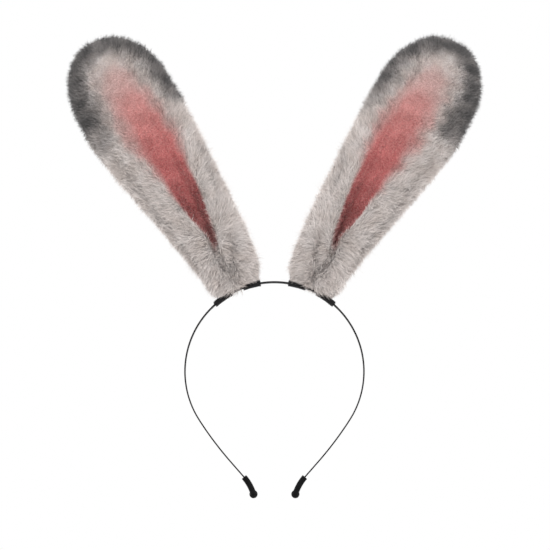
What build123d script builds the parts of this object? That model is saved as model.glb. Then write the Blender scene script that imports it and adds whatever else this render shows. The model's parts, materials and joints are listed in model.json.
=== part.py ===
from build123d import *
from math import asin, atan2, cos, degrees, hypot, radians, sin, sqrt
import os

# Animal ears headband: a spring-steel strip with rubber caps, and two plush ears held to it by felt tabs.
# Frame: the origin is the strip's inner face at the crown, +X is right as seen from the front, +Y points to
# the back and +Z up. "Left" and "right" are as seen from the front. Sizes are in mm and degrees.

# The strip: a round crown, a long easy curve below it and a straight run into each cap
STRIP_WIDTH = 5.0
STRIP_THICK = 1.0
STRIP_EDGE_R = 0.3
CROWN_R = 65.0
CROWN_SWEEP = 123.0
LOWER_R = 250.0
LOWER_SWEEP = 8.6
STRAIGHT_RUN = 15.0
SOCKET_DEPTH = 9.0

# The crown ends where the outer felt tabs end, and the legs flex from there
LEG_ANGLE = 45.0
BUTT_GAP = 0.4

# The rubber caps: a curved sleeve with a round tip
CAP_R = 33.4
CAP_SWEEP = 24.0
CAP_WIDTH = 6.6
CAP_THICK = 4.2
CAP_CORNER_R = 1.8
CAP_BALL_R = 2.95
CAP_RIM_R = 0.35

# The felt tabs: two for each ear, by their place round the crown
TAB_ANGLES = {"inner": (9.2, 20.6), "outer": (28.6, 41.8)}
FELT_THICK = 1.0
TAB_TOP_R = 66.8
TAB_CORNER_R = 2.4
TAB_SLOT_MORE = 1.0

# The ears: a leaf shape that leans outwards
EAR_FOOT_ANGLE = 25.8
EAR_LEAN = 29.0
EAR_FOOT_HALF_WIDTH = 18.2
EAR_BROAD_HALF_WIDTH = 38.5
EAR_BROAD_FROM = 148.0
EAR_SWELL = 0.9
EAR_ROUND_FROM = 172.0
EAR_LENGTH = 219.0
EAR_FOOT_SHIFT = -3.5
EAR_TIP_SHIFT = 3.5
EAR_HALF_DEPTH = 12.0
EAR_TIP_HALF_DEPTH = 8.0
EAR_STATIONS = (-4.0, 10.0, 24.0, 40.0, 75.0, 112.0, 148.0, 174.0, 194.0, 207.0, 215.0)
CORE_STATIONS = (10.0, 35.0, 75.0, 112.0, 148.0, 174.0, 194.0, 206.0)
PANEL_SIDE = 6.0
PANEL_DEPTH = 4.5

# The bendable wire loop inside each ear
WIRE_R = 1.0
WIRE_FOOT_HALF_WIDTH = 9.0
WIRE_FOOT_HEIGHT = 14.0
WIRE_LOOP_R = 27.0
WIRE_LOOP_HEIGHT = 168.0

# Where the wire is bent: the upper half of the ear turns on a knuckle
FOLD_HEIGHT = 100.0
KNUCKLE_R = 16.0
KNUCKLE_GAP = 0.4

STRIP_INNER_R = CROWN_R - STRIP_THICK / 2
HEAD_CENTRE = (0.0, -STRIP_INNER_R)
SPAN = 240.0
SIDES = {"left": -1, "right": 1}

os.makedirs("parts", exist_ok=True)


def save(builder, name):
    """Labels a finished piece and writes it to its own file."""
    builder.part.label = name
    export_step(builder.part, f"parts/{name}.step")


def crown_arc(from_angle, sweep, side, radius=CROWN_R):
    """An arc about the head's centre, measured from the top towards one side."""
    return CenterArc(HEAD_CENTRE, radius, 90 - side * from_angle, -side * sweep)


def leg_line(side):
    """The strip's centre line from the crown's end to the cap's mouth."""
    gap_angle = degrees(BUTT_GAP / CROWN_R)
    upper = crown_arc(LEG_ANGLE + gap_angle, CROWN_SWEEP - LEG_ANGLE - gap_angle, side)
    lower = JernArc(upper @ 1, upper % 1, LOWER_R, -side * LOWER_SWEEP)
    straight = Line(lower @ 1, lower @ 1 + STRAIGHT_RUN * (lower % 1))
    return straight @ 1, straight % 1


def cap_arc(mouth, heading, length, side):
    """The cap's centre line, or the first part of it, turning back towards straight down."""
    return JernArc(mouth, heading, CAP_R, side * degrees(length / CAP_R))


def across(path, at=0):
    """A plane square to a path, with its first axis along the strip's width."""
    return Plane(origin=path @ at, x_dir=(0, 1, 0), z_dir=path % at)


def strip_section(path):
    """The strip's cross-section at the start of a path."""
    with BuildSketch(across(path)) as section:
        RectangleRounded(STRIP_WIDTH, STRIP_THICK, STRIP_EDGE_R)
    return section.sketch


def ear_plane(side):
    """An ear's own plane, from its foot: the second axis runs up the ear and the plane faces the front."""
    foot_angle = radians(EAR_FOOT_ANGLE)
    lean = radians(EAR_LEAN)
    foot = Vector(side * CROWN_R * sin(foot_angle), 0, CROWN_R * cos(foot_angle) - STRIP_INNER_R)
    up = Vector(side * sin(lean), 0, cos(lean))
    return Plane(origin=foot, x_dir=up.cross(Vector(0, -1, 0)), z_dir=(0, -1, 0))


def roundness(height):
    """1 up to the broad part of an ear, falling to 0 at its very tip as an ellipse does."""
    above = max(0.0, height - EAR_ROUND_FROM) / (EAR_LENGTH - EAR_ROUND_FROM)
    return sqrt(1 - above**2)


def ear_half_width(height):
    """Half the ear's width: a slightly bowed taper, then an even stretch, then the round tip."""
    rise = min(1.0, max(0.0, height) / EAR_BROAD_FROM) ** EAR_SWELL
    broad = EAR_FOOT_HALF_WIDTH + rise * (EAR_BROAD_HALF_WIDTH - EAR_FOOT_HALF_WIDTH)
    return broad * roundness(height)


def ear_half_depth(height):
    """Half the ear's thickness, even up to the fold and thinner towards the tip."""
    above = min(1.0, max(0.0, height - FOLD_HEIGHT) / (EAR_ROUND_FROM - FOLD_HEIGHT))
    full = EAR_HALF_DEPTH + above * (EAR_TIP_HALF_DEPTH - EAR_HALF_DEPTH)
    return full * (1 + 2 * roundness(height)) / 3


def ear_section_plane(side, height):
    """A plane square to the ear, centred on its slightly bowed middle line."""
    plane = ear_plane(side)
    shift = EAR_FOOT_SHIFT + (EAR_TIP_SHIFT - EAR_FOOT_SHIFT) * min(1.0, max(0.0, height) / EAR_BROAD_FROM)
    return Plane(
        origin=plane.from_local_coords((side * shift, height, 0)),
        x_dir=plane.x_dir,
        z_dir=plane.y_dir,
    )


def leaf(side, heights, side_wall=0.0, face_wall=0.0):
    """A leaf-shaped solid lofted through ellipses, set in from the ear's outside by two walls."""
    with BuildPart() as body:
        for height in heights:
            with BuildSketch(ear_section_plane(side, height)):
                Ellipse(ear_half_width(height) - side_wall, ear_half_depth(height) - face_wall)
        loft()
    return body.part


def wire_loop(side):
    """The wire's line: up one edge of the ear, round under the tip and down the other edge."""
    rise = WIRE_LOOP_HEIGHT - WIRE_FOOT_HEIGHT
    spread = asin(WIRE_LOOP_R / hypot(WIRE_FOOT_HALF_WIDTH, rise)) - atan2(WIRE_FOOT_HALF_WIDTH, rise)
    touch_x = WIRE_LOOP_R * cos(spread)
    touch_y = WIRE_LOOP_HEIGHT - WIRE_LOOP_R * sin(spread)
    with BuildLine(ear_plane(side)) as loop:
        first = Line((-WIRE_FOOT_HALF_WIDTH, WIRE_FOOT_HEIGHT), (-touch_x, touch_y))
        JernArc(first @ 1, first % 1, WIRE_LOOP_R, -180 - 2 * degrees(spread))
        Line((touch_x, touch_y), (WIRE_FOOT_HALF_WIDTH, WIRE_FOOT_HEIGHT))
    return loop.line


def fold_zone(side, is_tip):
    """Everything on one side of an ear's fold: a round knuckle for the tip, a round seat for the lower part."""
    plane = ear_plane(side)
    fold_plane = Plane(
        origin=plane.from_local_coords((0, FOLD_HEIGHT, 0)),
        x_dir=plane.y_dir,
        z_dir=plane.x_dir,
    )
    reach = SPAN / 2 if is_tip else -SPAN / 2
    radius = KNUCKLE_R - KNUCKLE_GAP / 2 if is_tip else KNUCKLE_R + KNUCKLE_GAP / 2
    with BuildPart() as zone:
        with BuildSketch(fold_plane):
            with Locations((reach, 0)):
                Rectangle(SPAN, SPAN)
            Circle(radius, mode=Mode.ADD if is_tip else Mode.SUBTRACT)
        extrude(amount=SPAN / 2, both=True)
    return zone.part


def crown_disc():
    """A thick disc about the head's centre, as large as the felt tabs reach."""
    with BuildPart() as disc:
        with BuildSketch(Plane.XZ):
            with Locations(HEAD_CENTRE):
                Circle(TAB_TOP_R)
        extrude(amount=SPAN / 2, both=True)
    return disc.part


# The crown of the strip
with BuildPart() as crown_strip:
    with BuildLine(Plane.XZ) as crown_path:
        crown_arc(-LEG_ANGLE, 2 * LEG_ANGLE, 1)
    sweep(sections=strip_section(crown_path.line), path=crown_path.line)
save(crown_strip, "crown_strip")

for side_name, side in SIDES.items():
    # A leg of the strip, with its tail inside the cap
    with BuildPart() as leg_strip:
        with BuildLine(Plane.XZ) as leg_path:
            mouth, heading = leg_line(side)
            cap_arc(mouth, heading, SOCKET_DEPTH, side)
        sweep(sections=strip_section(leg_path.line), path=leg_path.line)
    save(leg_strip, f"{side_name}_leg_strip")

    # The rubber cap, a sleeve swept round its own arc, with the strip's tail cut out of it
    with BuildPart() as end_cap:
        with BuildLine(Plane.XZ):
            cap_line = cap_arc(mouth, heading, CAP_R * radians(CAP_SWEEP), side)
        with BuildSketch(across(cap_line)) as sleeve_section:
            RectangleRounded(CAP_WIDTH, CAP_THICK, CAP_CORNER_R)
        sweep(sections=sleeve_section.sketch, path=cap_line)
        fillet(end_cap.faces().sort_by(Axis.Z)[-1].edges(), CAP_RIM_R)
        with Locations(cap_line @ 1):
            Sphere(CAP_BALL_R)
        with BuildLine(Plane.XZ):
            tail_line = cap_arc(mouth, heading, SOCKET_DEPTH, side)
        sweep(sections=strip_section(tail_line), path=tail_line, mode=Mode.SUBTRACT)
    save(end_cap, f"{side_name}_end_cap")

    # The felt tabs, each folded round the strip and up into the ear's foot
    for place, (from_angle, to_angle) in TAB_ANGLES.items():
        with BuildPart() as tab:
            with BuildSketch(Plane.XZ):
                with BuildLine():
                    low = crown_arc(from_angle, to_angle - from_angle, side, STRIP_INNER_R - FELT_THICK)
                    high = crown_arc(from_angle, to_angle - from_angle, side, TAB_TOP_R)
                    Line(low @ 0, high @ 0)
                    Line(low @ 1, high @ 1)
                make_face()
                fillet(high.vertices(), TAB_CORNER_R)
            extrude(amount=STRIP_WIDTH / 2 + FELT_THICK, both=True)
            with BuildLine(Plane.XZ):
                slot_line = crown_arc(from_angle - TAB_SLOT_MORE, to_angle - from_angle + 2 * TAB_SLOT_MORE, side)
            sweep(sections=strip_section(slot_line), path=slot_line, mode=Mode.SUBTRACT)
        save(tab, f"{side_name}_{place}_tab")

    # The ear: two fur panels round a thin pad of stuffing, which holds the wire loop
    with BuildPart() as wire:
        wire_line = wire_loop(side)
        with BuildSketch(Plane(origin=wire_line @ 0, z_dir=wire_line % 0)) as wire_section:
            Circle(WIRE_R)
        sweep(sections=wire_section.sketch, path=wire_line)

    core = leaf(side, CORE_STATIONS, PANEL_SIDE, PANEL_DEPTH)
    with BuildPart() as stuffing:
        add(core)
        add(wire.part, mode=Mode.SUBTRACT)

    with BuildPart() as fur:
        add(leaf(side, EAR_STATIONS))
        add(core, mode=Mode.SUBTRACT)
        add(crown_disc(), mode=Mode.SUBTRACT)

    with BuildPart() as back:
        add(fur.part)
        split(bisect_by=Plane.XZ, keep=Keep.BOTTOM)

    with BuildPart() as lining:
        add(fur.part)
        split(bisect_by=Plane.XZ, keep=Keep.TOP)

    wholes = {"back": back.part, "lining": lining.part, "stuffing": stuffing.part, "wire": wire.part}
    for half_name, is_tip in (("lower", False), ("tip", True)):
        zone = fold_zone(side, is_tip)
        for piece_name, whole in wholes.items():
            with BuildPart() as ear_piece:
                add(whole)
                add(zone, mode=Mode.INTERSECT)
            save(ear_piece, f"{side_name}_ear_{piece_name}_{half_name}")
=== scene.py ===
import json
import math

import bmesh
import bpy
import numpy as np
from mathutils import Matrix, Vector


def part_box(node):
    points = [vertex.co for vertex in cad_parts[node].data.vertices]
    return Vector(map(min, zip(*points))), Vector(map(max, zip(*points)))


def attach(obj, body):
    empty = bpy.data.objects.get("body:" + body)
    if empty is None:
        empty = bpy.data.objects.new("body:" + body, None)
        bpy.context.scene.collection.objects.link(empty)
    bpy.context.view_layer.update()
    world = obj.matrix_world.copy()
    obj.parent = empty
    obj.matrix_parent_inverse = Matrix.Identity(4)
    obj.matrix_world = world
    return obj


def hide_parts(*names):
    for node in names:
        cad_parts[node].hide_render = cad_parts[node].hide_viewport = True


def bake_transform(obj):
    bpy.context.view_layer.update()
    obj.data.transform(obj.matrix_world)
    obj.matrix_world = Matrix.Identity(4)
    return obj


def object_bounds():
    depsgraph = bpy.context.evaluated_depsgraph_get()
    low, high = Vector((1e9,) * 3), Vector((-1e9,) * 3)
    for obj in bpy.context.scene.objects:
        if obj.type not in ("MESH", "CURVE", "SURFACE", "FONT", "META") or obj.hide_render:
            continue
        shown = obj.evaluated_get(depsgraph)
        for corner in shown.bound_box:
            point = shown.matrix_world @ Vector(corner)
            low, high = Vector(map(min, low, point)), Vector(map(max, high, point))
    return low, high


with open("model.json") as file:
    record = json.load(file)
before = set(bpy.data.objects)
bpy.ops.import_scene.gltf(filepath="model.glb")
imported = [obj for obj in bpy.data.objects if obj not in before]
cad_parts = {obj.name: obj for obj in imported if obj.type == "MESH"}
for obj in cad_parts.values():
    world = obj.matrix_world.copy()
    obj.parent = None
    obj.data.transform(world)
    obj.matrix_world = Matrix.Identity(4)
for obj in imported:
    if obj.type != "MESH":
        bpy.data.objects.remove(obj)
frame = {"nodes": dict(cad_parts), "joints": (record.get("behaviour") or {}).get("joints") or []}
cad_low, cad_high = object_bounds()

# Lengths are in metres. Places on an ear are given in its own directions: "up" from the strip to the tip,
# "out" across the ear and away from the head's middle, and "front" towards the viewer.
SIDES = {"left": -1, "right": 1}
FRONT = np.array([0.0, -1.0, 0.0])
JOINTS = {joint["name"]: joint for joint in frame["joints"]}

# The strip. Its underside is at height 0 at the top of the head.
strip_low, strip_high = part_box("crown_strip")
STRIP_WIDTH = strip_high.y - strip_low.y
STRIP_THICK = strip_high.z
LEG_START = np.radians(45)
CROWN_R = JOINTS["right_leg_spread"]["pos_m"][0] / math.sin(LEG_START)
HEAD_Z = JOINTS["right_leg_spread"]["pos_m"][2] - CROWN_R * math.cos(LEG_START)
CROWN_END = np.radians(123)
LOWER_R = 0.250
LOWER_SWEEP = np.radians(8.6)
STRAIGHT_RUN = 0.021
LEG_STEP = 0.0005

# Its section is a flat oval, made blunt by raising its cosine and sine to these powers
SECTION_POINTS = 32
WIDTH_POWER = 0.35
THICK_POWER = 0.7

# An ear's skin, under its hair
FOLD_UP = 0.100
SKIN_TIP = 0.2185
ROUND_FROM = 0.170
BROAD_FROM = 0.148
FOOT_HALF_WIDTH = 0.0152
BROAD_HALF_WIDTH = 0.0359
SWELL = 0.9
HALF_DEPTH = 0.0098
TIP_HALF_DEPTH = 0.0062
SEAT_R = 0.0676
SEAT_ZONE = 0.030
LUMP_DEPTH = 0.0007
LUMP_SIZE = 0.011
STUFFING_INSET = 0.0022
SEAM_ANGLE = 0.36
SKIN_GRID = (150, 240)
STUFFING_GRID = (70, 96)

# Its hair stands out from the skin by about HAIR_RISE, and gathers in clumps made of smaller tufts
HAIR_RISE = 0.0035
HAIR_WIDTH = 0.00031
HAIR_BEND = 0.25
HAIR_TAPER = 0.65
CLUMP_SIZE = 0.0022
TUFT_SIZE = 0.42 * CLUMP_SIZE
PILE_LENGTH = 0.0028
ROLL_EXTRA_LENGTH = 0.0044
RIM_EXTRA_LENGTH = 0.0012
BACK_LENGTH = 0.0052

# The airbrushing: how far the dark rim reaches in, and the heights between which each colour comes or goes
RIM_REACH = 0.0172
RIM_UNEVEN = 0.0038
RIM_COMES = (0.128, 0.162)
DARK_BACK_COMES = (0.138, 0.176)
PINK_COMES = (0.029, 0.041)
PINK_PALES = (0.160, 0.180)
PINK_GOES = (0.176, 0.206)

# A piece's flat map: its empty border, and how many columns of hairs it has for each row
UV_MARGIN = 0.02
COLUMNS_PER_ROW = 2.6

# The hollow between the lining's two rolls: up, its middle, half width and depth. Its pink is as wide.
HOLLOW = (
    (0.000, -0.0030, 0.0012, 0.000),
    (0.012, -0.0020, 0.0014, 0.003),
    (0.028, -0.0004, 0.0022, 0.006),
    (0.042, -0.0034, 0.0036, 0.009),
    (0.060, -0.0030, 0.0068, 0.0100),
    (0.083, -0.0030, 0.0096, 0.0080),
    (0.105, -0.0025, 0.0115, 0.0050),
    (0.127, -0.0018, 0.0140, 0.0025),
    (0.146, -0.0008, 0.0136, 0.0012),
    (0.168, 0.0010, 0.0125, 0.0008),
    (0.184, 0.0020, 0.0115, 0.000),
    (0.219, 0.0020, 0.0080, 0.000),
)

# Creases where the pile parts: points (up, out) from the foot
BELOW_HOLLOW = ((0.012, 0.0005), (0.019, 0.0002), (0.027, -0.0006), (0.037, -0.0028))
ACROSS_FOOT = ((0.005, -0.0038), (0.019, -0.0068), (0.028, -0.0105), (0.036, -0.0125))
OUTER_ROLL = ((0.024, 0.0130), (0.045, 0.0155), (0.080, 0.0215), (0.101, 0.0244), (0.128, 0.0290))
INNER_ROLL = ((0.068, -0.0190), (0.092, -0.0240), (0.110, -0.0275))

# Each crease's points, half width, depth and painted shade (how much darker the pile is painted along it)
CREASES = (
    (BELOW_HOLLOW, 0.0014, 0.0045, 0.55),
    (ACROSS_FOOT, 0.0017, 0.0050, 0.68),
    (OUTER_ROLL, 0.0018, 0.0026, 0.38),
    (INNER_ROLL, 0.0022, 0.0020, 0.40),
)


def ease(x, low, high):
    """0 below low, 1 above high, and smooth between."""
    t = np.clip((x - low) / (high - low), 0, 1)
    return t * t * (3 - 2 * t)


def curve(x, xs, ys):
    """A smooth line through a few points."""
    xs, ys = np.array(xs), np.array(ys)
    slopes = np.gradient(ys, xs)
    i = np.clip(np.searchsorted(xs, x) - 1, 0, len(xs) - 2)
    h = xs[i + 1] - xs[i]
    t = np.clip((x - xs[i]) / h, 0, 1)
    low = (1 + 2 * t) * (1 - t) ** 2 * ys[i] + t * (1 - t) ** 2 * h * slopes[i]
    high = t**2 * (3 - 2 * t) * ys[i + 1] + t**2 * (t - 1) * h * slopes[i + 1]
    return low + high


def ripple(a, b, size, seed, waves=9):
    """A smooth random field, from about -1 to 1, whose features are about size across."""
    random = np.random.default_rng(seed)
    total = 0
    for _ in range(waves):
        turn, phase = random.uniform(0, 2 * np.pi, 2)
        pitch = 2 * np.pi / (2 * size * random.uniform(0.7, 1.6))
        total = total + np.sin(pitch * (np.cos(turn) * a + np.sin(turn) * b) + phase)
    return total / math.sqrt(waves)


def unit(vectors):
    return vectors / np.maximum(np.linalg.norm(vectors, axis=-1, keepdims=True), 1e-12)


def roundness(up):
    """1 up to an ear's round end, then falling to 0 at its tip as an ellipse does."""
    above = np.clip((up - ROUND_FROM) / (SKIN_TIP - ROUND_FROM), 0, 1)
    return np.sqrt(1 - above**2)


def half_width(up):
    rise = np.clip(up / BROAD_FROM, 0, 1) ** SWELL
    return (FOOT_HALF_WIDTH + rise * (BROAD_HALF_WIDTH - FOOT_HALF_WIDTH)) * roundness(up)


def middle(up):
    """How far out an ear's middle line lies. It bows in above the foot, and then leans out."""
    return -0.0040 + 0.0016 * (1 - ease(up, 0, 0.022)) + 0.0076 * ease(up, 0.020, 0.160)


def half_depth(up):
    return (HALF_DEPTH + (TIP_HALF_DEPTH - HALF_DEPTH) * ease(up, 0.09, 0.18)) * roundness(up) ** 0.6


def hollow(up):
    """The hollow's middle, half width and depth."""
    ups = [row[0] for row in HOLLOW]
    return [curve(up, ups, [row[i] for row in HOLLOW]) for i in (1, 2, 3)]


def creased(up, out):
    """How deep the creases are, and how much painted shade darkens them."""
    depth, painted_crease_shade = 0, 0
    broken = np.clip(1 + 0.6 * ripple(up, out, 0.0035, 31), 0.2, 1.4)
    for points, width, deep, dark in CREASES:
        ups, outs = [p[0] for p in points], [p[1] for p in points]
        ends = ease(up, ups[0] - 0.005, ups[0] + 0.008) * (1 - ease(up, ups[-1] - 0.010, ups[-1] + 0.006))
        line = curve(np.clip(up, ups[0], ups[-1]), ups, outs)
        near = ends * np.exp(-(((out - line) / width) ** 2))
        depth, painted_crease_shade = depth + deep * near, painted_crease_shade + dark * near * broken
    return depth, painted_crease_shade


def sunk(up, out):
    """How deep the hollow and the creases press the lining in."""
    centre, half, depth = hollow(up)
    away = (out - centre) / half
    pressed = depth * (1 - ease(away, 0.10, 1.30)) * (1 - ease(-away, 0.20, 1.20))
    return pressed + creased(up, out)[0]


class Ear:
    """One ear: its place in the frame, and its skin."""

    def __init__(self, name):
        self.name = name
        self.side = SIDES[name]
        across = np.array(JOINTS[f"{name}_ear_fold"]["axis"])
        self.up = np.cross(FRONT, across)
        self.out = self.side * across
        self.fold = np.array(JOINTS[f"{name}_ear_fold"]["pos_m"])
        self.foot = self.fold - FOLD_UP * self.up
        self.seed = 11 if name == "left" else 23
        head = np.array([0.0, 0.0, HEAD_Z]) - self.foot
        self.head_out, self.head_up = head @ self.out, head @ self.up

    def turned(self, vectors):
        """Vectors from (out, up, front) to the shared frame."""
        return vectors @ np.array([self.out, self.up, FRONT])

    def place(self, points):
        return self.foot + self.turned(points)

    def skin(self, up, angle, share=1.0, inset=0.0):
        """Points of the skin, in (out, up, front). Angle 0 is its outer edge, a quarter turn its front."""
        c, s = np.cos(angle), np.sin(angle)
        out = middle(up) + share * np.maximum(half_width(up) - inset, 0) * c
        lumps = LUMP_DEPTH * ripple(up, out + 0.3 * (s > 0), LUMP_SIZE, 5) * roundness(up)
        thick = np.maximum(half_depth(up) - inset, 0)
        front = share * np.sign(s) * np.abs(s) ** 0.8 * thick + lumps * s
        front = front - ease(s, 0.0, 0.3) * sunk(up, out)
        seat = self.head_up + np.sqrt(SEAT_R**2 - (out - self.head_out) ** 2)
        return np.stack([out, up + seat * np.clip(1 - up / SEAT_ZONE, 0, 1), front], -1)

    def grid(self, rows, columns, inset=0.0):
        """The skin as rings of points from its foot's middle to its tip, with each point's up and angle."""
        tip = SKIN_TIP - inset
        foot = np.linspace(0.05, 1, 6)
        straight = np.linspace(0, ROUND_FROM, rows)[1:]
        turn = np.linspace(0, np.pi / 2, rows // 3)[1:]
        ups = np.concatenate([0 * foot, straight, ROUND_FROM + (tip - ROUND_FROM) * np.sin(turn * 0.995)])
        shares = np.concatenate([foot, np.ones(len(ups) - len(foot))])
        angles = np.linspace(0, 2 * np.pi, columns, endpoint=False)
        up, angle = np.meshgrid(ups, angles, indexing="ij")
        return self.skin(up, angle, shares[:, None], inset), up, angle


def ring_normals(points):
    """Outward normals of rings of points."""
    along = np.gradient(points, axis=0)
    round_ = np.roll(points, -1, 1) - np.roll(points, 1, 1)
    return unit(np.cross(along, round_))


def new_mesh(name, points, faces, normals=None):
    """A mesh of faces that all have the same number of corners."""
    mesh = bpy.data.meshes.new(name)
    corners = faces.shape[1]
    mesh.vertices.add(len(points))
    mesh.vertices.foreach_set("co", points.astype(np.float32).ravel())
    mesh.loops.add(faces.size)
    mesh.loops.foreach_set("vertex_index", faces.astype(np.int32).ravel())
    mesh.polygons.add(len(faces))
    mesh.polygons.foreach_set("loop_start", np.arange(0, faces.size, corners, dtype=np.int32))
    mesh.update(calc_edges=True)
    mesh.polygons.foreach_set("use_smooth", np.ones(len(faces), bool))
    if normals is not None:
        mesh.normals_split_custom_set_from_vertices(normals)
    obj = bpy.data.objects.new(name, mesh)
    bpy.context.scene.collection.objects.link(obj)
    return obj


def close_ends(obj):
    """Fills the openings at the ends of a tube-like mesh."""
    solid = bmesh.new()
    solid.from_mesh(obj.data)
    bmesh.ops.holes_fill(solid, edges=solid.edges)
    solid.to_mesh(obj.data)
    solid.free()


def ring_faces(rows, columns):
    """Four-cornered faces between rings of points, by row and column."""
    i, j = np.meshgrid(np.arange(rows - 1), np.arange(columns), indexing="ij")
    k = (j + 1) % columns
    return np.stack([i * columns + j, i * columns + k, (i + 1) * columns + k, (i + 1) * columns + j], -1)


def set_attribute(obj, name, values):
    """A number or a vector for each vertex."""
    is_vector = np.ndim(values) > 1
    kind, key = ("FLOAT_VECTOR", "vector") if is_vector else ("FLOAT", "value")
    attribute = obj.data.attributes.new(name, kind, "POINT")
    attribute.data.foreach_set(key, np.asarray(values, np.float32).ravel())


def set_uv(obj, uv):
    """The flat map that the materials are baked on, from a place for each vertex."""
    corners = np.zeros(len(obj.data.loops), np.int32)
    obj.data.loops.foreach_get("vertex_index", corners)
    obj.data.uv_layers.new(name="OFBake").data.foreach_set("uv", uv[corners].astype(np.float32).ravel())


def colour(red, green, blue):
    """A colour for a node, from its 0 to 255 screen values."""
    levels = np.array([red, green, blue]) / 255
    return (*np.where(levels <= 0.04045, levels / 12.92, ((levels + 0.055) / 1.055) ** 2.4), 1.0)


class Paint:
    """A material and the nodes that work out its look."""

    def __init__(self, name, roughness, sheen=0.0, metallic=0.0, specular=0.5):
        self.material = bpy.data.materials.new(name)
        self.material.use_nodes = True
        self.tree = self.material.node_tree
        self.shader = self.tree.nodes["Principled BSDF"]
        self.shader.inputs["Roughness"].default_value = roughness
        self.shader.inputs["Metallic"].default_value = metallic
        self.shader.inputs["Specular IOR Level"].default_value = specular
        self.shader.inputs["Sheen Weight"].default_value = sheen
        self.shader.inputs["Sheen Roughness"].default_value = 0.5

    def node(self, kind, inputs=None, out=0, **settings):
        """A new node with its inputs linked or set. Gives one of its outputs."""
        node = self.tree.nodes.new(f"ShaderNode{kind}")
        for key, value in settings.items():
            setattr(node, key, value)
        for key, value in (inputs or {}).items():
            self.put(value, node.inputs[key])
        return node.outputs[out]

    def put(self, value, socket):
        if isinstance(value, bpy.types.NodeSocket):
            self.tree.links.new(value, socket)
        else:
            socket.default_value = value

    def attribute(self, name):
        return self.node("Attribute", out="Vector" if name.endswith("place") else "Fac", attribute_name=name)

    def place(self):
        return self.node("TexCoord", out="Object")

    def noise(self, place, size, detail=2.0, rough=0.5):
        """Cloudy noise from 0 to 1 whose patches are about size across."""
        inputs = {"Vector": place, "Scale": 1 / size, "Detail": detail, "Roughness": rough}
        return self.node("TexNoise", inputs, out="Fac")

    def math(self, operation, a, b=0.0):
        return self.node("Math", {0: a, 1: b}, operation=operation)

    def spread(self, value, low, high, out_low=0.0, out_high=1.0):
        """A value stretched from one range to another, and kept within it."""
        inputs = {"Value": value, "From Min": low, "From Max": high, "To Min": out_low, "To Max": out_high}
        return self.node("MapRange", inputs)

    def mix(self, share, a, b, blend="MIX"):
        inputs = {"Factor": share, 6: a, 7: b}
        return self.node("Mix", inputs, out=2, data_type="RGBA", blend_type=blend)

    def ramp(self, value, stops):
        """A colour read from a row of (place, colour) stops."""
        ramp = self.tree.nodes.new("ShaderNodeValToRGB")
        elements = ramp.color_ramp.elements
        while len(elements) < len(stops):
            elements.new(0.5)
        for element, (position, tint) in zip(elements, stops):
            element.position = position
            element.color = tint
        self.put(value, ramp.inputs["Fac"])
        return ramp.outputs["Color"]

    def base(self, tint):
        self.put(tint, self.shader.inputs["Base Color"])

    def roughness(self, value):
        self.put(value, self.shader.inputs["Roughness"])

    def bump(self, height, depth, strength=1.0):
        inputs = {"Height": height, "Distance": depth, "Strength": strength}
        self.put(self.node("Bump", inputs), self.shader.inputs["Normal"])


LIGHT_GREY = colour(211, 204, 201)
WARM_GREY = colour(196, 186, 181)
CHARCOAL = colour(92, 90, 90)
# The pink by height up the ear: deeper airbrushed pink lower down, and darker towards the foot as painted
# shade for the deep lower hollow
PINKS_WITH_HOLLOW_SHADE = (
    (0.20, colour(150, 80, 79)),
    (0.34, colour(182, 88, 88)),
    (0.52, colour(206, 112, 111)),
    (0.66, colour(212, 136, 133)),
    (0.80, colour(212, 160, 156)),
)
WARM_OVERSPRAY = colour(203, 170, 164)


def fur_paint(name, is_skin=False):
    """Plush, airbrushed charcoal round the tip and pink in the hollow, darkened by painted shade."""
    paint = Paint(name, roughness=0.88, sheen=0.15, specular=0.2)
    place = paint.attribute("ear_place")
    tone = paint.attribute("tone")
    patches = paint.noise(place, 0.009, 3.0, 0.6)
    grain = paint.noise(place, 0.0011, 2.0, 0.6)
    tint = paint.mix(paint.spread(patches, 0.35, 0.65), LIGHT_GREY, WARM_GREY)
    height = paint.node("SeparateXYZ", {"Vector": place}, out="Y")
    ear_share = paint.math("DIVIDE", height, SKIN_TIP)
    pink = paint.ramp(ear_share, PINKS_WITH_HOLLOW_SHADE)
    flecked = paint.mix(paint.spread(grain, 0.35, 0.65, 0.0, 0.35), pink, WARM_OVERSPRAY)
    pinkness = paint.attribute("pink")
    tint = paint.mix(paint.spread(pinkness, 0.0, 0.35, 0.0, 0.55), tint, WARM_OVERSPRAY)
    tint = paint.mix(paint.spread(pinkness, 0.15, 0.9), tint, flecked)
    speckled = paint.math("ADD", paint.attribute("dark"), paint.spread(grain, 0.3, 0.7, -0.12, 0.12))
    tint = paint.mix(paint.spread(speckled, 0.05, 0.95), tint, CHARCOAL)
    light = paint.spread(tone, 0.0, 1.0, 0.74, 1.26)
    # painted shade along the creases
    light = paint.math("MULTIPLY", light, paint.spread(paint.attribute("painted_crease_shade"), 0.0, 1.0, 1.0, 0.35))
    light = paint.math("MULTIPLY", light, paint.spread(grain, 0.3, 0.7, 0.84, 1.16))
    if is_skin:
        # painted shade: the backing is painted a quarter darker, for the shadow under the hair
        light = paint.math("MULTIPLY", light, 0.75)
        paint.bump(grain, 0.0008)
    else:
        # painted shade: each hair is painted darker towards its root, where the pile shades it
        painted_root_shade = paint.spread(paint.attribute("along"), 0.0, 0.8, 0.60, 1.06)
        light = paint.math("MULTIPLY", light, painted_root_shade)
    paint.base(paint.mix(1.0, tint, light, "MULTIPLY"))
    return paint.material


def rim_distance(up, out):
    """How far a place lies inside the outline of an ear's fur."""
    side = np.abs(out - middle(up)) + 1e-7
    above = np.maximum(up - ROUND_FROM, 0)
    broad = half_width(np.minimum(up, ROUND_FROM)) + HAIR_RISE
    tall = SKIN_TIP + HAIR_RISE - ROUND_FROM
    reach = np.hypot(side, above)
    return reach / np.hypot(side / broad, above / tall) - reach


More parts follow.
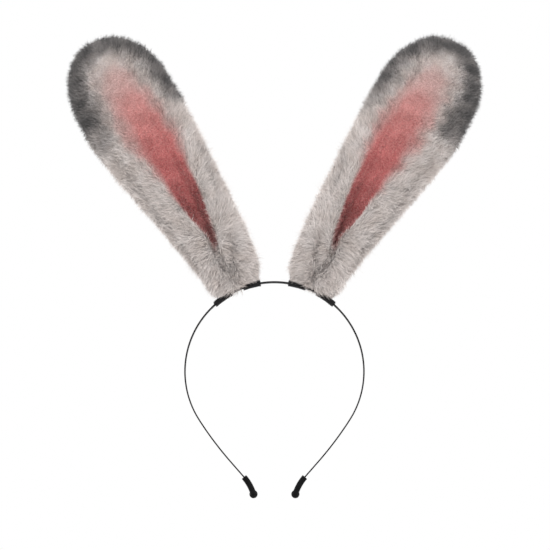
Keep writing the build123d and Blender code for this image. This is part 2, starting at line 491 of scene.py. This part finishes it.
def darkness(up, out, front, seed):
    """The charcoal airbrushing: a rim on the lining and the whole tip of the back."""
    side = out - middle(up)
    above = np.maximum(up - ROUND_FROM, 0)
    top = above / (np.hypot(side, above) + 1e-6)
    reach = RIM_REACH + RIM_UNEVEN * np.tanh(side / 0.005) * (1 - top)
    reach = reach + 0.0012 * ripple(up, out, 0.006, seed)
    inside = rim_distance(up, out)
    rim = (0.87 + 0.09 * ripple(up, out, 0.007, seed + 3)) * (1 - ease(inside, reach - 0.009, reach + 0.006))
    blotch = 0.005 * ripple(up, out, 0.012, seed + 1)
    rim = rim * ease(up + blotch, *RIM_COMES)
    back = ease(up + blotch, *DARK_BACK_COMES)
    lining = ease(front, -0.2, 0.5)
    return rim * lining + np.maximum(rim, back) * (1 - lining)


def pinkness(up, out, front, seed):
    """The pink airbrushing of the hollow: crisp at its lower end and soft at the top."""
    centre, half, _ = hollow(up)
    away = (out - centre) / half
    soft = 0.16 + 0.62 * ease(up, 0.075, 0.160) + 0.20 * ease(up, 0.06, 0.10) * (away > 0)
    place = np.abs(away) + soft * 0.10 * ripple(up, out, 0.006, seed)
    across = 1 - ease(place, 1.0 - soft, 1.0 + soft)
    ends = ease(up, *PINK_COMES) * (1 - 0.45 * ease(up, *PINK_PALES)) * (1 - ease(up, *PINK_GOES))
    return across * ends * (front > 0)


def painted(obj, ear, up, out, front, tone, seed):
    """Stores what the fur's material reads at each vertex."""
    set_attribute(obj, "ear_place", np.stack([out, up, 0.02 * front], -1))
    set_attribute(obj, "pink", pinkness(up, out, front, seed))
    set_attribute(obj, "dark", darkness(up, out, front, seed))
    # painted shade along the lining's creases
    set_attribute(obj, "painted_crease_shade", creased(up, out)[1] * (front > 0))
    set_attribute(obj, "tone", tone)


def clumps(points, size, random):
    """For each point, the way to the nearest of a jittered grid of clumps, and the clump's own number."""
    cells = np.floor(points / size).astype(int)
    first = cells.min(0) - 1
    shape = cells.max(0) - first + 3
    jitter = random.random((*shape, 3))
    numbers = random.random(shape)
    nearest = np.full(len(points), np.inf)
    ways = np.zeros_like(points)
    found = np.zeros(len(points))
    for step in np.ndindex(3, 3, 3):
        cell = cells - first + step - 1
        key = tuple(cell.T)
        way = (cell + first + jitter[key]) * size - points
        distance = np.linalg.norm(way, axis=1)
        closer = distance < nearest
        nearest[closer] = distance[closer]
        ways[closer] = way[closer]
        found[closer] = numbers[key][closer]
    return ways, found


def roots(skin, count, weight, random):
    """Random places on a skin, more where weight is more: points, normals, ups and angles."""
    points, up, angle = skin
    normals = ring_normals(points)
    wrapped = [np.concatenate([a, a[:, :1]], 1) for a in (points, normals, up)]
    wrapped.append(np.concatenate([angle, angle[:, :1] + 2 * np.pi], 1))
    grid = wrapped[0]
    across = np.cross(grid[1:, 1:] - grid[:-1, :-1], grid[1:, :-1] - grid[:-1, 1:])
    area = np.linalg.norm(across, axis=2)
    share = area * weight(wrapped[2][:-1, :-1], np.sin(wrapped[3][:-1, :-1]))
    share = share.ravel() / share.sum()
    picked = np.sort(random.choice(len(share), count, p=share))
    i, j = np.divmod(picked, area.shape[1])
    a, b = random.random((2, count))
    corners = [(i, j, (1 - a) * (1 - b)), (i + 1, j, a * (1 - b))]
    corners += [(i, j + 1, (1 - a) * b), (i + 1, j + 1, a * b)]
    mixed = [sum((field[p, q].T * w).T for p, q, w in corners) for field in wrapped]
    return mixed[0], unit(mixed[1]), mixed[2], mixed[3]


def atlas(count, levels):
    """A cell of the flat map for each hair: across and along, for its edges at each level."""
    columns = math.ceil(math.sqrt(count * COLUMNS_PER_ROW))
    rows = math.ceil(count / columns)
    row, column = np.divmod(np.arange(count), columns)
    left, right = (column + 0.2) / columns, (column + 0.8) / columns
    uv = []
    for level in levels:
        v = (row + 0.1 + 0.8 * level) / rows
        uv += [np.stack([left, v], -1), np.stack([right, v], -1)]
    uv[-2] = (uv[-2] + uv[-1]) / 2
    return np.stack(uv[:-1], 1).reshape(-1, 2)


def hair(name, place, normal, comb, length, lean, bend, width, segments, random, softness=0.4):
    """Hairs as tapering ribbons. Each leaves its place at an angle of lean from the normal towards comb."""
    count = len(place)
    twist = random.uniform(0, np.pi, count)[:, None]
    levels = np.arange(segments + 1) / segments
    points, wide = [], []
    sideways = unit(np.cross(normal, comb))
    for level in levels:
        tilt = (lean + bend * level)[:, None]
        rise = level * length[:, None] * (np.cos(tilt) * normal + np.sin(tilt) * comb)
        points.append(place + rise)
        wide.append(width * (1 - HAIR_TAPER * level))
    heading = unit(points[-1] - points[0])
    sideways = unit(sideways - heading * (sideways * heading).sum(1)[:, None])
    edge = np.cos(twist) * sideways + np.sin(twist) * np.cross(heading, sideways)
    facing = np.cross(edge, heading)
    outward = np.where((facing * normal).sum(1) < 0, -1, 1)[:, None]
    edge, facing = edge * outward, facing * outward
    vertices = []
    for centre, broad in zip(points, wide):
        vertices += [centre - edge * broad / 2, centre + edge * broad / 2]
    vertices[-2] = points[-1]
    vertices = np.stack(vertices[:-1], 1)
    each = vertices.shape[1]
    faces = []
    for k in range(segments - 1):
        a = 2 * k
        faces += [(a, a + 1, a + 3), (a, a + 3, a + 2)]
    faces.append((each - 3, each - 2, each - 1))
    faces = (np.arange(count)[:, None, None] * each + np.array(faces)).reshape(-1, 3)
    shading = unit(softness * normal + (1 - softness) * facing)
    obj = new_mesh(name, vertices.reshape(-1, 3), faces, np.repeat(shading, each, 0))
    set_attribute(obj, "along", np.tile(np.repeat(levels, 2)[:-1], count))
    set_uv(obj, atlas(count, levels))
    return obj, each


class Coat:
    """One coat of hair on an ear: where it grows, its style, and how much its tufts differ in tone."""

    def __init__(self, name, slot, count, weight, style, segments=3, tufted=0.28):
        self.name, self.slot, self.count, self.weight, self.style = name, slot, count, weight, style
        self.segments, self.tufted = segments, tufted


def is_lining(sine):
    return ease(sine, 0.20, 0.34)


def off_back(sine):
    return ease(sine, -0.75, -0.25)


def pile_weight(up, sine):
    return is_lining(sine) * (0.45 + ease(up, 0.09, 0.15))


def rolls_weight(up, sine):
    return is_lining(sine) * (1 - ease(up, 0.11, 0.17))


def edge_weight(up, sine):
    return (1 - is_lining(sine)) * off_back(sine)


def back_weight(up, sine):
    return 1 - off_back(sine)


def roll_style(up, out, sine, seed):
    """Length, lean and heading (out, up) of the lining's hair."""
    centre, half, depth = hollow(up)
    in_hollow = 1 - ease(np.abs(out - centre) - half, -0.0010, 0.0030)
    low = 1 - ease(up, 0.10, 0.165)
    near_rim = ease(0.02 - rim_distance(up, out), 0, 0.014)
    length = PILE_LENGTH + ROLL_EXTRA_LENGTH * low * (1 - in_hollow) + RIM_EXTRA_LENGTH * near_rim
    length = length * (1 - 0.60 * in_hollow * ease(up, 0.045, 0.06))
    lean = 0.30 + 0.55 * low * (1 - in_hollow)
    side = np.tanh((out - centre) / 0.004)
    swirl = 0.55 * ripple(up, out, 0.014, seed) + 0.22 * ripple(up, out, 0.005, seed + 1)
    heading = np.arctan2(0.7 * side, -0.7 + 1.3 * ease(up, 0.015, 0.06))
    heading = heading + swirl * (0.4 + 0.6 * low)
    return length, lean, np.sin(heading), np.cos(heading)


def edge_style(up, out, sine, seed):
    """Length, lean and heading (out, up) of the hair on the back and the edges."""
    edge = ease(1 - np.abs(sine), 0.05, 0.5)
    tip = ease(up, 0.12, 0.17)
    length = BACK_LENGTH - 0.0010 * tip
    lean = 0.85 - 0.40 * edge - 0.20 * tip * edge
    side = out - middle(up)
    heading = np.arctan2(np.tanh(side / 0.012) * (0.5 + 0.8 * tip), -0.9 + 1.5 * tip)
    heading = heading + 0.45 * ripple(up, out, 0.014, seed) + 0.18 * ripple(up, out, 0.005, seed + 1)
    return length, lean, np.sin(heading), np.cos(heading)


COATS = (
    Coat("lining_pile", "lining_fur", 66000, pile_weight, roll_style, segments=2, tufted=0.42),
    Coat("lining_rolls", "lining_fur", 40000, rolls_weight, roll_style),
    Coat("edge_fur", "grey_fur", 33000, edge_weight, edge_style),
    Coat("back_fur", "grey_fur", 37000, back_weight, edge_style),
)


def round_head(points):
    """How far round the crown from its top points are, on either side."""
    return np.arctan2(np.abs(points[..., 0]), points[..., 2] - HEAD_Z)


def node_points(node):
    mesh = frame["nodes"][node].data
    points = np.zeros(len(mesh.vertices) * 3, np.float32)
    mesh.vertices.foreach_get("co", points)
    return points.reshape(-1, 3)


def between_tabs(ear, place):
    """1 for places over the gap between an ear's two felt tabs, where the hem hangs lower."""
    turn = round_head(ear.place(place))
    start = round_head(node_points(f"{ear.name}_inner_tab")).max()
    end = round_head(node_points(f"{ear.name}_outer_tab")).min()
    return ease(turn, start, start + 0.02) * (1 - ease(turn, end - 0.02, end))


def combed(ear, coat, skin, seed):
    """Grows a coat on an ear's skin."""
    random = np.random.default_rng(seed)
    place, normal, up, angle = roots(skin, coat.count, coat.weight, random)
    out, sine = place[:, 0], np.sin(angle)
    length, lean, out_share, up_share = coat.style(up, out, sine, seed)
    comb = np.stack([out_share, up_share, 0 * up], -1)
    ways, numbers = clumps(place, CLUMP_SIZE, random)
    tuft_ways, tuft_numbers = clumps(place, TUFT_SIZE, random)
    pull = (0.16 + 0.30 * ease(up, 0.14, 0.18))[:, None]
    comb = comb + pull * ways / CLUMP_SIZE + 0.12 * tuft_ways / TUFT_SIZE
    comb = comb + random.normal(0, 0.30, comb.shape)
    comb = unit(comb - normal * (comb * normal).sum(1)[:, None])
    foot = 0.40 + 0.60 * np.maximum(ease(place[:, 1], 0.001, 0.012), between_tabs(ear, place))
    uneven = 0.55 + 0.85 * random.random(len(up)) ** 2
    length = length * foot * (0.80 + 0.25 * numbers + 0.15 * tuft_numbers) * uneven
    lean = lean + random.normal(0, 0.20, len(up)) + 0.22 * (numbers - 0.5) + 0.12 * (tuft_numbers - 0.5)
    name = f"{ear.name}_ear_{coat.name}"
    place, normal, comb = ear.place(place), ear.turned(normal), ear.turned(comb)
    obj, each = hair(name, place, normal, comb, length, lean, HAIR_BEND, HAIR_WIDTH, coat.segments, random)
    tone = 0.16 * numbers + coat.tufted * tuft_numbers + (0.84 - coat.tufted) * random.random(len(up))
    painted(obj, ear, *(np.repeat(field, each) for field in (up, out, sine, tone)), ear.seed)
    return obj


def shell(name, ear, grid, picked):
    """Part of an ear's skin: the grid's faces that are picked."""
    points, up, angle = grid
    rows, columns = up.shape
    faces = ring_faces(rows, columns)[picked(angle[:-1] + np.pi / columns)].reshape(-1, 4)
    if ear.side > 0:
        faces = faces[:, ::-1]
    used, faces = np.unique(faces, return_inverse=True)
    flat = points.reshape(-1, 3)[used]
    obj = new_mesh(name, ear.place(flat), faces.reshape(-1, 4))
    up, angle = up.ravel()[used], angle.ravel()[used]
    painted(obj, ear, up, flat[:, 0], np.sin(angle), np.full(len(used), 0.5), ear.seed)
    turn = angle if "lining" in name else np.mod(angle - np.pi / 2, 2 * np.pi)
    share = np.stack([turn / (2 * np.pi), np.arange(len(used)) / len(used)], -1)
    set_uv(obj, UV_MARGIN + (1 - 2 * UV_MARGIN) * share)
    return obj


def folding(obj, material):
    """Gives obj its material, and moves its placement into its mesh."""
    obj.data.materials.append(material)
    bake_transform(obj)


def stuffing_paint():
    paint = Paint("stuffing", roughness=0.95)
    place = paint.attribute("ear_place")
    wisps = paint.noise(place, 0.004, 6.0, 0.7)
    paint.base(paint.ramp(wisps, ((0.3, colour(206, 204, 198)), (0.7, colour(238, 237, 233)))))
    paint.bump(wisps, 0.001)
    return paint.material


def on_lining(angle):
    return (angle > SEAM_ANGLE) & (angle < np.pi - SEAM_ANGLE)


def on_back(angle):
    return ~on_lining(angle)


def everywhere(angle):
    return angle >= 0


strand_paint = fur_paint("plush_hair")
skin_paint = fur_paint("plush_backing", is_skin=True)
filling_paint = stuffing_paint()

for side_name in SIDES:
    ear = Ear(side_name)
    skin = ear.grid(*SKIN_GRID)
    pad = ear.grid(*STUFFING_GRID, STUFFING_INSET)
    pieces = (
        ("back", skin, on_back, skin_paint, "grey_fur"),
        ("lining", skin, on_lining, skin_paint, "lining_fur"),
        ("stuffing", pad, everywhere, filling_paint, "stuffing"),
    )
    for part, grid, picked, material, slot in pieces:
        piece = shell(f"{side_name}_ear_{part}", ear, grid, picked)
        if part == "stuffing":
            close_ends(piece)
        folding(piece, material)
        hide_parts(f"{side_name}_ear_{part}_lower", f"{side_name}_ear_{part}_tip")
    for number, coat in enumerate(COATS):
        folding(combed(ear, coat, skin, ear.seed * 100 + number), strand_paint)


def strip_paint(name, is_cad):
    """Satin black paint over spring steel: fine orange peel, faint dust and edges rubbed bright."""
    paint = Paint(name, roughness=0.42, specular=0.06)
    place = paint.place() if is_cad else paint.attribute("rest_place")
    peel = paint.noise(place, 0.0007, 2.0)
    dust = paint.noise(place, 0.006, 4.0, 0.65)
    depth = paint.math("ABSOLUTE", paint.node("SeparateXYZ", {"Vector": place}, out="Y"))
    edge = paint.spread(depth, STRIP_WIDTH * 0.46, STRIP_WIDTH * 0.5)
    worn = paint.math("MULTIPLY", edge, paint.spread(dust, 0.52, 0.75, 0.0, 0.7))
    tint = paint.mix(paint.spread(dust, 0.35, 0.75), colour(8, 8, 9), colour(18, 18, 19))
    paint.base(paint.mix(worn, tint, colour(36, 36, 38)))
    paint.roughness(paint.spread(dust, 0.3, 0.7, 0.36, 0.52))
    paint.bump(peel, 0.00004, 0.6)
    return paint.material


def rubber_paint():
    """Matte black rubber, with a fine moulded grain and a little bloom."""
    paint = Paint("cap_rubber", roughness=0.5, specular=0.08)
    place = paint.place()
    grain = paint.noise(place, 0.0004, 2.0)
    bloom = paint.noise(place, 0.005, 4.0, 0.6)
    paint.base(paint.mix(paint.spread(bloom, 0.4, 0.75), colour(3, 3, 4), colour(12, 12, 13)))
    paint.roughness(paint.spread(bloom, 0.3, 0.7, 0.36, 0.55))
    paint.bump(grain, 0.00005, 0.7)
    return paint.material


def felt_paint(name, is_cad):
    """Black felt: matted fibres with a few pale ones."""
    paint = Paint(name, roughness=0.95, sheen=0.05, specular=0.05)
    place = paint.place() if is_cad else paint.attribute("rest_place")
    mat = paint.noise(place, 0.0007, 5.0, 0.75)
    lint = paint.noise(place, 0.0022, 3.0, 0.6)
    tint = paint.mix(paint.spread(mat, 0.35, 0.7), colour(16, 16, 17), colour(46, 45, 46))
    paint.base(paint.mix(paint.spread(lint, 0.62, 0.80, 0.0, 0.35), tint, colour(70, 70, 72)))
    paint.bump(mat, 0.0003)
    return paint.material


def steel_paint():
    """Bright drawn wire, with fine scratches along it."""
    paint = Paint("steel_wire", roughness=0.32, metallic=1.0)
    streaks = paint.noise(paint.place(), 0.0009, 3.0, 0.6)
    paint.base(paint.mix(streaks, colour(150, 150, 152), colour(196, 196, 198)))
    paint.roughness(paint.spread(streaks, 0.3, 0.7, 0.24, 0.42))
    paint.bump(streaks, 0.00003, 0.5)
    return paint.material


def leg_line(side):
    """A leg's middle line, from the crown's end into its cap, and its headings from level."""
    runs = ((CROWN_END - LEG_START, CROWN_R), (LOWER_SWEEP, LOWER_R))
    turns = [np.full(round(sweep * radius / LEG_STEP), 1 / radius) for sweep, radius in runs]
    turns.append(np.zeros(round(STRAIGHT_RUN / LEG_STEP)))
    turns = np.concatenate(turns)
    heading = LEG_START + np.concatenate([[0], np.cumsum(turns) * LEG_STEP])
    between = (heading[1:] + heading[:-1]) / 2
    start = [[CROWN_R * math.sin(LEG_START)], [HEAD_Z + CROWN_R * math.cos(LEG_START)]]
    line = np.concatenate([start, start + np.cumsum([np.cos(between), -np.sin(between)], 1) * LEG_STEP], 1)
    return side * line[0], line[1], heading


def leg_strip(side_name):
    """The sprung part of the strip, as one skin that bends at the crown's end."""
    side = SIDES[side_name]
    x, z, heading = leg_line(side)
    turns = np.linspace(0, 2 * np.pi, SECTION_POINTS, endpoint=False)
    c, s = np.cos(turns), np.sin(turns)
    across = np.sign(c) * np.abs(c) ** WIDTH_POWER * STRIP_WIDTH / 2
    thick = np.sign(s) * np.abs(s) ** THICK_POWER * STRIP_THICK / 2
    away = np.stack([side * np.sin(heading), 0 * heading, np.cos(heading)], -1)
    centre = np.stack([x, 0 * x, z], -1)
    points = centre[:, None] + away[:, None] * thick[:, None] + np.array([0, 1, 0]) * across[:, None]
    rows, columns = points.shape[:2]
    faces = ring_faces(rows, columns).reshape(-1, 4)
    if side < 0:
        faces = faces[:, ::-1]
    obj = new_mesh(f"{side_name}_leg_spring", points.reshape(-1, 3), faces)
    set_attribute(obj, "rest_place", points.reshape(-1, 3))
    v, u = np.meshgrid(np.linspace(0, 1, rows), np.linspace(0, 1, columns), indexing="ij")
    set_uv(obj, UV_MARGIN + (1 - 2 * UV_MARGIN) * np.stack([u, v], -1).reshape(-1, 2))
    close_ends(obj)
    return obj, centre


def fuzz(nodes, count, length, width, seed):
    """Short stray fibres over the felt, as many on each node as count."""
    random = np.random.default_rng(seed)
    starts, normals = [], []
    for node in nodes:
        mesh = frame["nodes"][node].data
        mesh.calc_loop_triangles()
        triangles = np.zeros(len(mesh.loop_triangles) * 3, np.int32)
        mesh.loop_triangles.foreach_get("vertices", triangles)
        corners = node_points(node)[triangles.reshape(-1, 3)]
        facing = np.cross(corners[:, 1] - corners[:, 0], corners[:, 2] - corners[:, 0])
        area = np.linalg.norm(facing, axis=1)
        picked = random.choice(len(area), count, p=area / area.sum())
        a, b = np.sort(random.random((2, count)), axis=0)
        shares = np.stack([a, b - a, 1 - b], -1)
        starts.append((corners[picked] * shares[..., None]).sum(1))
        normals.append(unit(facing[picked]))
    starts, normals = np.concatenate(starts), np.concatenate(normals)
    comb = random.normal(0, 1, starts.shape)
    comb = unit(comb - normals * (comb * normals).sum(1)[:, None])
    total = len(starts)
    lean, bend = random.uniform(0.5, 1.35, total), random.uniform(0, 0.6, total)
    reach = length * random.uniform(0.4, 1.2, total)
    obj, each = hair("felt_fuzz", starts, normals, comb, reach, lean, bend, width, 2, random)
    set_attribute(obj, "rest_place", np.repeat(starts, each, 0))
    return obj


strip_material = strip_paint("painted_strip", is_cad=True)
leg_material = strip_paint("painted_leg", is_cad=False)
cad_paints = {"crown_strip": strip_material}
rubber, felt, steel = rubber_paint(), felt_paint("felt", is_cad=True), steel_paint()
for side_name in SIDES:
    cad_paints[f"{side_name}_end_cap"] = rubber
    cad_paints[f"{side_name}_inner_tab"] = felt
    cad_paints[f"{side_name}_outer_tab"] = felt
    cad_paints[f"{side_name}_ear_wire_lower"] = steel
    cad_paints[f"{side_name}_ear_wire_tip"] = steel
    leg, centre = leg_strip(side_name)
    leg.data.materials.append(leg_material)
    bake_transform(leg)
    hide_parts(f"{side_name}_leg_strip")

tabs = [f"{side_name}_{place}_tab" for side_name in SIDES for place in ("inner", "outer")]
fibres = fuzz(tabs, count=2200, length=0.0009, width=0.00012, seed=5)
fibres.data.materials.append(felt_paint("felt_fibres", is_cad=False))
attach(fibres, "headband")

for node, material in cad_paints.items():
    mesh = frame["nodes"][node].data
    mesh.materials.clear()
    mesh.materials.append(material)


# The floor, well below the headband, and soft studio light from all round
FLOOR_DROP = 0.14
FLOOR_Z = cad_low.z - FLOOR_DROP
FLOOR_R = 1.7
LIT_PLACE = Vector((0, 0, 0.08))
bpy.ops.mesh.primitive_circle_add(vertices=128, radius=FLOOR_R, fill_type="NGON", location=(0, 0, FLOOR_Z))
floor = bpy.context.object
floor.name = "floor"
floor_paint = Paint("floor", roughness=0.6)
floor_cloud = floor_paint.noise(floor_paint.place(), 0.4, 2.0)
floor_paint.base(floor_paint.mix(floor_cloud, colour(236, 236, 235), colour(240, 240, 239)))
floor.data.materials.append(floor_paint.material)

world = bpy.data.worlds.new("studio")
world.use_nodes = True
world.node_tree.nodes["Background"].inputs["Color"].default_value = (1, 1, 1, 1)
world.node_tree.nodes["Background"].inputs["Strength"].default_value = 1.0
bpy.context.scene.world = world
bpy.context.scene.view_settings.view_transform = "Standard"


def soft_light(name, place, size, power):
    """A square soft light that faces the ears."""
    lamp = bpy.data.lights.new(name, "AREA")
    lamp.size = size
    lamp.energy = power
    obj = bpy.data.objects.new(name, lamp)
    bpy.context.scene.collection.objects.link(obj)
    obj.location = place
    obj.rotation_euler = (LIT_PLACE - Vector(place)).to_track_quat("-Z", "Y").to_euler()


soft_light("key", place=(-0.5, -1.1, 1.0), size=0.8, power=14.0)
soft_light("fill", place=(0.9, -1.0, 0.3), size=0.9, power=6.0)
for way in (-1, 1):
    soft_light(f"side_{way}", place=(way * 1.1, 0.15, -0.15), size=0.7, power=5.0)

# The camera, a little below the ears and looking up
CAMERA_LENS = 84.53
CAMERA_REACH = 0.950
CAMERA_RISE = math.radians(-9.5)
TARGET = Vector((0.0004, 0.0, 0.0059))
camera_data = bpy.data.cameras.new("camera")
camera_data.lens = CAMERA_LENS
camera = bpy.data.objects.new("camera", camera_data)
bpy.context.scene.collection.objects.link(camera)
camera.location = TARGET + CAMERA_REACH * Vector((0, -math.cos(CAMERA_RISE), math.sin(CAMERA_RISE)))
camera.rotation_euler = (TARGET - camera.location).to_track_quat("-Z", "Y").to_euler()
bpy.context.scene.camera = camera
